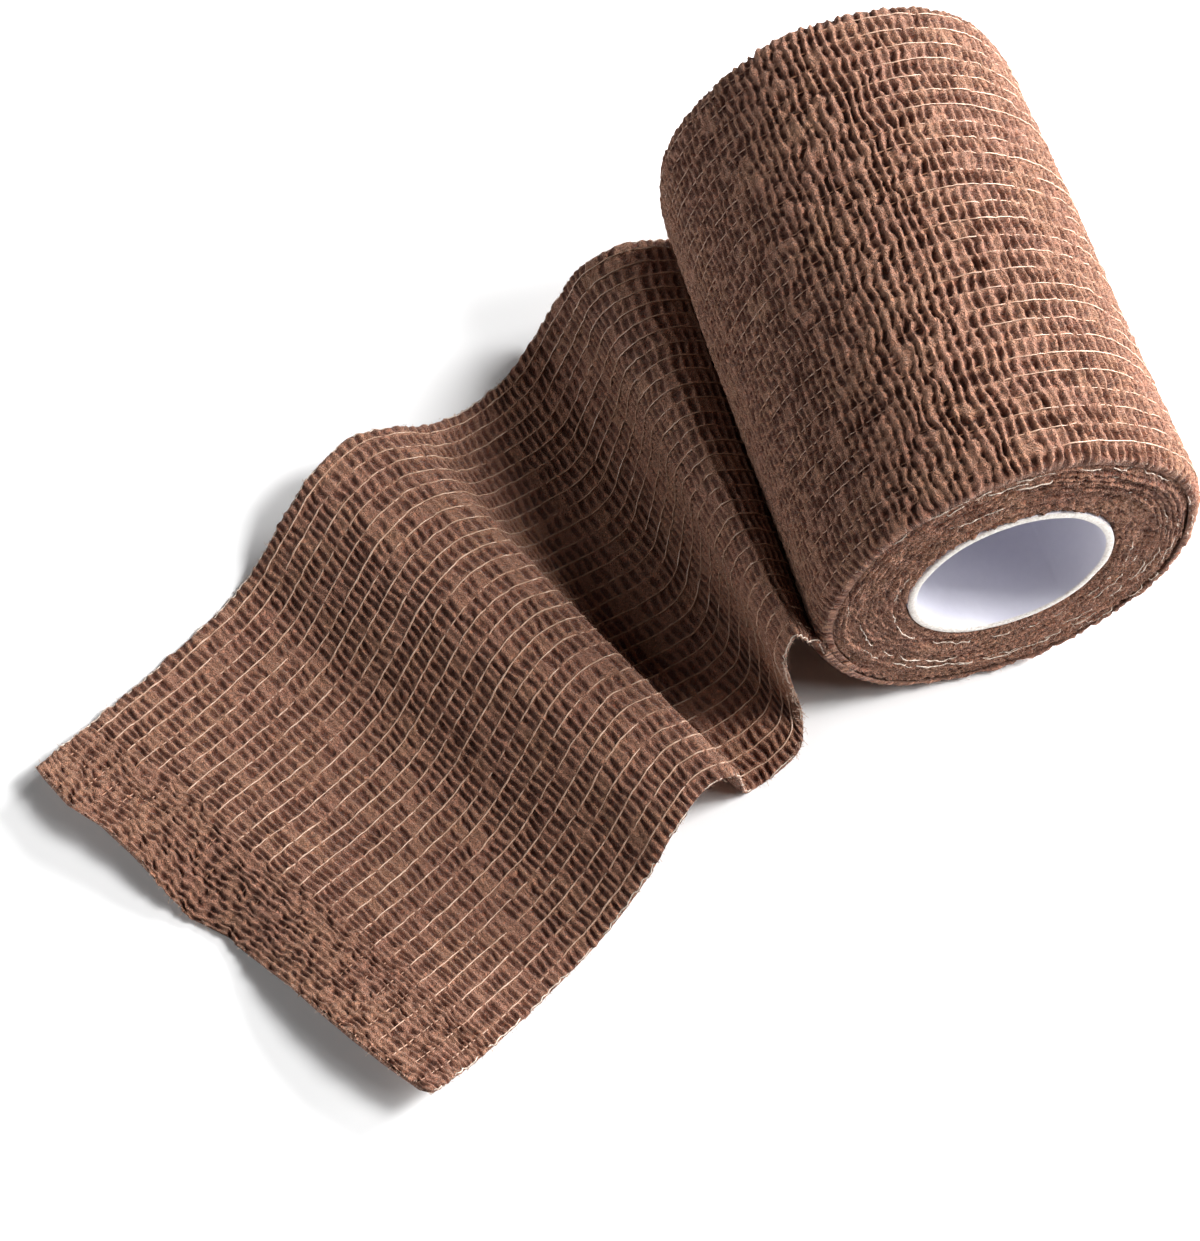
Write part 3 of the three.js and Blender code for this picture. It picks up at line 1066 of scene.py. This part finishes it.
near_rows = np.array([0, 1, 2])
far_rows = np.array([-3, -2, -1])
loose_fibres = add_fibres("loose_end_fibres", [
    fibres(*edge_roots(loose_face, near_rows), count=420, reach=0.4, seed=201),
    fibres(*edge_roots(loose_face, far_rows), count=380, reach=0.4, seed=202),
    fibres(*cut_roots(loose_face), count=420, reach=0.45, seed=203),
    fibres(*standing_edge_roots(loose_face), count=260, reach=0.8, seed=207),
])
arc_roots = arcs.reshape(-1, 3)
arc_outwards = np.sign(arc_roots) * np.array([0.0, 1.0, 0.0])
rim_fibres = add_fibres("rim_fibres", [
    fibres(*edge_roots(outer_face, near_rows), count=500, reach=0.35, seed=204),
    fibres(*edge_roots(outer_face, far_rows), count=500, reach=0.35, seed=205),
    fibres(arc_roots, arc_outwards, count=900, reach=0.7, seed=206),
])
print("fibres:", triangles_of(loose_fibres) + triangles_of(rim_fibres), "triangles")

# %% [markdown]
# ## Finishes
# Three kinds of surface cover the part: gathered cloth, elastic thread and the smooth white core.
# The cloth is nonwoven, so close up it is a web of creased fibres with no weave. Three node groups
# give it: creases, which are ridges of a folded-over noise, pleats, which are creases laid along
# the ridges, and a fine fibre grain.


# %% Shorthand for building node groups
def new_group(name, inputs, outputs):
    """A shader node group with named float inputs and outputs; gives its nodes, links and ends."""
    group = bpy.data.node_groups.new(name, "ShaderNodeTree")
    for key, value in inputs.items():
        socket = group.interface.new_socket(key, in_out="INPUT", socket_type="NodeSocketFloat")
        socket.default_value = value
    for key in outputs:
        group.interface.new_socket(key, in_out="OUTPUT", socket_type="NodeSocketFloat")
    nodes = group.nodes
    return group, nodes, group.links, nodes.new("NodeGroupInput"), nodes.new("NodeGroupOutput")


def calculate(nodes, links, operation, *inputs, clamp=False):
    """A Math node; each input is a number or a socket."""
    node = nodes.new("ShaderNodeMath")
    node.operation = operation
    node.use_clamp = clamp
    for socket, value in zip(node.inputs, inputs):
        if isinstance(value, (int, float)):
            socket.default_value = value
        else:
            links.new(value, socket)
    return node.outputs[0]


def noise_over(nodes, links, place, scale, detail, roughness, distortion):
    """A noise over a place that comes from a socket; its size is 1 / scale."""
    noise = nodes.new("ShaderNodeTexNoise")
    noise.inputs["Detail"].default_value = detail
    noise.inputs["Roughness"].default_value = roughness
    noise.inputs["Distortion"].default_value = distortion
    links.new(place, noise.inputs["Vector"])
    links.new(scale, noise.inputs["Scale"])
    return noise.outputs["Fac"]


def object_noise(nodes, links, size, detail, roughness, distortion=0.0):
    """A noise over the object's own space, with its size in metres."""
    scale = calculate(nodes, links, "DIVIDE", 1.0, size)
    place = nodes.new("ShaderNodeTexCoord").outputs["Object"]
    return noise_over(nodes, links, place, scale, detail, roughness, distortion)


# %% A node group for creases
def fold_over(nodes, links, noise, given, result):
    """Ridges where a noise passes its middle value, and crevices between them."""
    signed = calculate(nodes, links, "MULTIPLY_ADD", noise, 2.0, -1.0)
    folded = calculate(nodes, links, "ABSOLUTE", signed)
    spread = calculate(nodes, links, "MULTIPLY", folded, 3.0, clamp=True)
    ridge = calculate(nodes, links, "SUBTRACT", 1.0, spread)
    height = calculate(nodes, links, "POWER", ridge, given.outputs["Sharpness"])
    links.new(height, result.inputs["Height"])
    # The crevice value only darkens the colour in the creases: painted shade.
    crevice = calculate(nodes, links, "SUBTRACT", spread, 0.35, clamp=True)
    links.new(crevice, result.inputs["Crevice"])


def make_creases():
    group, nodes, links, given, result = new_group(
        "creases", {"Size": 0.0005, "Sharpness": 1.5}, ("Height", "Crevice")
    )
    noise = object_noise(nodes, links, given.outputs["Size"], 2.0, 0.5, 0.6)
    fold_over(nodes, links, noise, given, result)
    return group


creases = make_creases()
print("node group:", creases.name)

# %% [markdown]
# On the gathered cloth the creases aren't the same in all directions. They run along the ridges, so
# their noise is laid out by the ridge and the lane that each point of the mesh remembers.


# %% A node group for the fine pleats along the ridges
def make_pleats():
    inputs = {"Ridge": 0.0, "Lane": 0.0, "Fineness": 2.4, "Sharpness": 1.5}
    group, nodes, links, given, result = new_group("pleats", inputs, ("Height", "Crevice"))
    place = nodes.new("ShaderNodeCombineXYZ")
    across = calculate(nodes, links, "MULTIPLY", given.outputs["Lane"], 1.8)
    links.new(given.outputs["Ridge"], place.inputs["X"])
    links.new(across, place.inputs["Y"])
    noise = noise_over(nodes, links, place.outputs[0], given.outputs["Fineness"], 3.0, 0.6, 0.8)
    fold_over(nodes, links, noise, given, result)
    return group


pleats = make_pleats()
print("node group:", pleats.name)


# %% A node group for fibre grain
def make_fibre_grain():
    group, nodes, links, given, result = new_group(
        "fibre grain", {"Size": 0.0003, "Contrast": 0.5}, ("Shade", "Height")
    )
    fine = object_noise(nodes, links, given.outputs["Size"], 3.0, 0.65)
    links.new(fine, result.inputs["Height"])
    centred = calculate(nodes, links, "SUBTRACT", fine, 0.5)
    strong = calculate(nodes, links, "MULTIPLY", centred, given.outputs["Contrast"])
    shade = calculate(nodes, links, "MULTIPLY_ADD", strong, 2.5, 0.5, clamp=True)
    links.new(shade, result.inputs["Shade"])
    return group


fibre_grain = make_fibre_grain()
print("node group:", fibre_grain.name)


# %% Small helpers for materials
def new_material(name):
    material = bpy.data.materials.new(name)
    material.use_nodes = True
    shader = material.node_tree.nodes["Principled BSDF"]
    return material, material.node_tree.nodes, material.node_tree.links, shader


def group_node(nodes, group, **values):
    node = nodes.new("ShaderNodeGroup")
    node.node_tree = group
    for key, value in values.items():
        node.inputs[key].default_value = value
    return node


def attribute_node(nodes, name):
    node = nodes.new("ShaderNodeAttribute")
    node.attribute_name = name
    return node.outputs["Fac"]


def spread_out(nodes, links, value, low, high, to_low=0.0, to_high=1.0):
    node = nodes.new("ShaderNodeMapRange")
    limits = {"From Min": low, "From Max": high, "To Min": to_low, "To Max": to_high}
    for key, number in limits.items():
        node.inputs[key].default_value = number
    links.new(value, node.inputs["Value"])
    return node.outputs[0]


def mix_colours(nodes, links, factor, one, other, blend="MIX"):
    """A colour mix; factor and colours are sockets or constants."""
    node = nodes.new("ShaderNodeMix")
    node.data_type = "RGBA"
    node.blend_type = blend
    for socket, value in ((node.inputs[0], factor), (node.inputs[6], one), (node.inputs[7], other)):
        if isinstance(value, tuple):
            socket.default_value = (*value, 1.0)
        elif isinstance(value, float):
            socket.default_value = value
        else:
            links.new(value, socket)
    return node.outputs[2]


def add_bump(nodes, links, height, distance, strength, under=None):
    node = nodes.new("ShaderNodeBump")
    node.inputs["Strength"].default_value = strength
    node.inputs["Distance"].default_value = distance
    links.new(height, node.inputs["Height"])
    if under is not None:
        links.new(under, node.inputs["Normal"])
    return node.outputs["Normal"]


# %% [markdown]
# The cloth is a warm brown on the ridges. Down in the pits and the fine creases its colour goes
# to a dark red-brown, which is painted shade: the shadow in the pits, and the red light that comes
# back out of the cloth there. The hollows are known from the shape itself: the value that made
# each point's height was kept with it, and the material reads it here.

# %% The gathered cloth
# The ridges' own colour, and the painted shade that pits and creases go over to.
ridge_brown = (0.438, 0.216, 0.126)
painted_shade_brown = (0.180, 0.054, 0.026)


def make_cloth(name, gathered, crease_depth, crease_shade_share):
    material, nodes, links, shader = new_material(name)
    hollow = attribute_node(nodes, "hollow")
    if gathered:
        crease = group_node(nodes, pleats, Fineness=2.2, Sharpness=1.4)
        links.new(attribute_node(nodes, "ridge"), crease.inputs["Ridge"])
        links.new(attribute_node(nodes, "lane"), crease.inputs["Lane"])
    else:
        crease = group_node(nodes, creases, Size=0.0006, Sharpness=1.4)
    grain = group_node(nodes, fibre_grain, Size=0.00028, Contrast=0.5)
    patches = group_node(nodes, fibre_grain, Size=0.006, Contrast=1.0)
    # Painted shade: deep in the pits and in the creases the colour goes over to the dark red-brown.
    deep = spread_out(nodes, links, hollow, 0.06, 0.60)
    crevice = calculate(nodes, links, "MULTIPLY", crease.outputs["Crevice"], crease_shade_share)
    dark = calculate(nodes, links, "MAXIMUM", deep, crevice, clamp=True)
    pinker = tuple(a * b for a, b in zip(ridge_brown, (1.02, 0.90, 0.98)))
    paler = tuple(a * b for a, b in zip(ridge_brown, (1.12, 1.10, 1.06)))
    ridge = mix_colours(nodes, links, patches.outputs["Shade"], pinker, paler)
    base = mix_colours(nodes, links, dark, ridge, painted_shade_brown)
    least, most = (0.55, 1.5) if gathered else (0.30, 2.0)
    grey = spread_out(nodes, links, grain.outputs["Shade"], 0.0, 1.0, least, most)
    toned = mix_colours(nodes, links, 1.0, base, grey, "MULTIPLY")
    links.new(toned, shader.inputs["Base Color"])
    shader.inputs["Roughness"].default_value = 0.78
    shader.inputs["Specular IOR Level"].default_value = 0.35
    shader.inputs["Sheen Weight"].default_value = 0.3
    shader.inputs["Sheen Roughness"].default_value = 0.5
    shader.inputs["Sheen Tint"].default_value = (1.0, 0.85, 0.76, 1.0)
    creased = add_bump(nodes, links, crease.outputs["Height"], crease_depth, 1.0)
    fine = add_bump(nodes, links, grain.outputs["Height"], 0.00010, 0.8, creased)
    links.new(fine, shader.inputs["Normal"])
    return material


cloth_finish = make_cloth(
    "gathered cloth", gathered=True, crease_depth=0.00036, crease_shade_share=0.55
)
edge_finish = make_cloth("cloth edges", gathered=False, crease_depth=0.00040, crease_shade_share=1.0)
for piece in (outer_turn, loose_end):
    piece.data.materials.append(cloth_finish)
wound_turns.data.materials.append(edge_finish)
print("cloth finish on outer turn and loose end, edge finish on the wound turns")

# %% [markdown]
# The threads are elastic with a smooth skin, a little paler than the cloth. They hardly show in the
# shade and shine in small beads where they turn towards the light, which is gloss and not colour,
# so their roughness is low. Where fibres of the cloth lie over a thread it takes on its brown.


# %% The threads
def make_thread(name, dim, pale, roughness, always_bare):
    material, nodes, links, shader = new_material(name)
    grain = group_node(nodes, fibre_grain, Size=0.00045, Contrast=1.0)
    tone = mix_colours(nodes, links, grain.outputs["Shade"], dim, pale)
    if not always_bare:
        bare = spread_out(nodes, links, attribute_node(nodes, "bare"), 0.15, 0.9)
        tone = mix_colours(nodes, links, bare, ridge_brown, tone)
    links.new(tone, shader.inputs["Base Color"])
    shader.inputs["Roughness"].default_value = roughness
    shader.inputs["Specular IOR Level"].default_value = 0.8
    return material


thread_finish = make_thread(
    "elastic thread", dim=(0.46, 0.27, 0.18), pale=(0.80, 0.56, 0.41),
    roughness=0.34, always_bare=False,
)
yarn_finish = make_thread(
    "bare yarn", dim=(0.50, 0.37, 0.28), pale=(0.92, 0.80, 0.68),
    roughness=0.5, always_bare=True,
)
loose_threads.data.materials.append(thread_finish)
roll_threads.data.materials.append(thread_finish)
end_yarn.data.materials.append(yarn_finish)
edge_yarn.data.materials.append(yarn_finish)


# %% The fibres
def make_fibre():
    material, nodes, links, shader = new_material("loose fibre")
    grain = group_node(nodes, fibre_grain, Size=0.0008, Contrast=1.0)
    tone = mix_colours(nodes, links, grain.outputs["Shade"], (0.36, 0.20, 0.13), (0.78, 0.60, 0.48))
    links.new(tone, shader.inputs["Base Color"])
    shader.inputs["Roughness"].default_value = 0.6
    return material


fibre_finish = make_fibre()
for piece in (loose_fibres, rim_fibres):
    piece.data.materials.append(fibre_finish)


# %% The core's smooth white
def make_core_white():
    material, nodes, links, shader = new_material("core white")
    grain = group_node(nodes, fibre_grain, Size=0.0011, Contrast=0.3)
    dim, bright = (0.66, 0.65, 0.74), (0.74, 0.73, 0.81)
    smooth = mix_colours(nodes, links, grain.outputs["Shade"], dim, bright)
    speckle = group_node(nodes, fibre_grain, Size=0.0004, Contrast=1.0)
    dim, bright = (0.60, 0.53, 0.47), (0.92, 0.88, 0.83)
    pulp = mix_colours(nodes, links, speckle.outputs["Shade"], dim, bright)
    tone = mix_colours(nodes, links, attribute_node(nodes, "rim"), smooth, pulp)
    links.new(tone, shader.inputs["Base Color"])
    shader.inputs["Roughness"].default_value = 0.42
    bumpy = add_bump(nodes, links, grain.outputs["Height"], distance=0.00004, strength=0.4)
    links.new(bumpy, shader.inputs["Normal"])
    return material


core_tube.data.materials.append(make_core_white())

# %% [markdown]
# ## Joining the frame
# Every piece rides on the one body and stands for the solid whose place it takes, which is hidden.

# %% Ride and replace
for piece, slot in (
    (outer_turn, "bandage_cloth"), (wound_turns, "bandage_cloth"), (loose_end, "bandage_cloth"),
    (loose_threads, "bandage_cloth"), (roll_threads, "bandage_cloth"), (end_yarn, "bandage_cloth"),
    (edge_yarn, "bandage_cloth"),
    (loose_fibres, "bandage_cloth"), (rim_fibres, "bandage_cloth"),
    (core_tube, "core_white"),
):
    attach(piece, "root")
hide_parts("wound_roll")
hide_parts("loose_end")
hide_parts("core")

# %% [markdown]
# ## Floor and light
# A white table under studio light. One way would be a bright surround, but it would fill the valley
# beside the roll, which is nearly black on the real object. So the surround is almost dark and the
# light comes from a few soft lamps: a softbox high on the right and a wide window lower down, which
# rake over the folds, a small card low on the right for the roll's side, a card in front for the
# end face and the inside of the core, and two weak cards on the left for the shaded sides.

# %% Floor
floor_size = 12.0
floor_mesh = bpy.data.meshes.new("floor")
corner = floor_size / 2
floor_points = [(x * corner, y * corner, 0) for x, y in ((-1, -1), (1, -1), (1, 1), (-1, 1))]
floor_mesh.from_pydata(floor_points, [], [(0, 1, 2, 3)])
floor = bpy.data.objects.new("floor", floor_mesh)
bpy.context.scene.collection.objects.link(floor)
floor_finish, _, _, floor_shader = new_material("white table")
floor_shader.inputs["Base Color"].default_value = (0.93, 0.93, 0.93, 1)
floor_shader.inputs["Roughness"].default_value = 0.6
floor_mesh.materials.append(floor_finish)
floor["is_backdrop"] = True


# %% Lights
LIGHT_AIM = Vector((-0.04, -0.01, 0.02))


def add_studio_light(name, azimuth, elevation, size, power):
    """An area light one metre from the part, in a direction given in degrees from +X and up."""
    round_by, up_by = math.radians(azimuth), math.radians(elevation)
    level = math.cos(up_by)
    away = Vector((level * math.cos(round_by), level * math.sin(round_by), math.sin(up_by)))
    place = LIGHT_AIM + away
    data = bpy.data.lights.new(name, "AREA")
    data.shape = "RECTANGLE"
    data.size, data.size_y = size
    data.energy = power
    light = bpy.data.objects.new(name, data)
    light.location = place
    light.rotation_euler = (LIGHT_AIM - place).to_track_quat("-Z", "Y").to_euler()
    bpy.context.scene.collection.objects.link(light)


add_studio_light("softbox", -12, 45, (0.30, 0.28), 11.2)
add_studio_light("low window", 20, 25, (0.50, 0.36), 18.9)
add_studio_light("right card", -6, 8, (0.30, 0.30), 4.5)
add_studio_light("front card", -35, 42, (0.28, 0.28), 2.1)
add_studio_light("left card", 150, 15, (0.35, 0.35), 3.1)
add_studio_light("high left card", 180, 50, (0.35, 0.35), 0.8)
world = bpy.data.worlds.new("surround")
bpy.context.scene.world = world
world.use_nodes = True
world.node_tree.nodes["Background"].inputs["Color"].default_value = (0.95, 0.94, 1.0, 1)
world.node_tree.nodes["Background"].inputs["Strength"].default_value = 0.01
bpy.context.scene.view_settings.view_transform = "Standard"

# %% The made model's size
made_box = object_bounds()
print_box("visual model", made_box)
